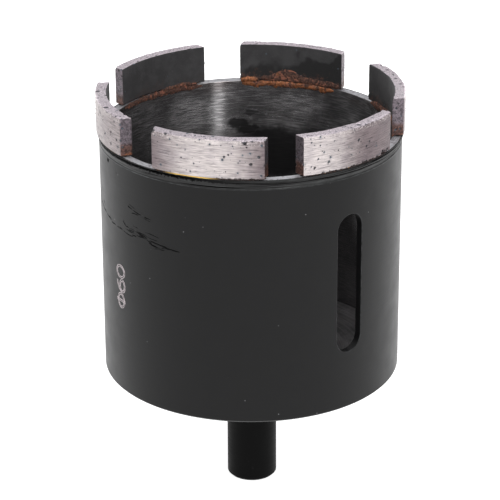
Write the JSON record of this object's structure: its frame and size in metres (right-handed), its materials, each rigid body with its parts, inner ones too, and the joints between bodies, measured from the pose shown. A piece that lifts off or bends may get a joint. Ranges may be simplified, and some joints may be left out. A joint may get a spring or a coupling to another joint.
{
  "type": "diamond core bit",
  "caption": "Diamond core bit: a black slotted steel cup with a crown of brazed segments, on a plain round shank.",
  "frame": {"origin": "centre of the flat end of the shank, on which the bit stands", "axes": "+Z along the axis of rotation towards the crown, +X through the middle of one slot"},
  "size_m": [0.06, 0.0597, 0.0834],
  "materials": {
    "barrel_paint": "satin black paint outside, bare turned steel inside",
    "plate_steel": "dull turned steel",
    "shank_paint": "satin black",
    "diamond_segment": "sintered metal, ground round the outside, pitted, sooty inside",
    "copper_braze": "rough copper-coloured braze"
  },
  "bodies": {
    "root": {"barrel": "barrel_paint", "end_plate": "plate_steel", "weld_ring": "plate_steel", "shank": "shank_paint", "segment_1": "diamond_segment", "segment_2": "diamond_segment", "segment_3": "diamond_segment", "segment_4": "diamond_segment", "segment_5": "diamond_segment", "segment_6": "diamond_segment", "braze_1": "copper_braze", "braze_2": "copper_braze", "braze_3": "copper_braze", "braze_4": "copper_braze", "braze_5": "copper_braze", "braze_6": "copper_braze"}
  },
  "joints": []
}
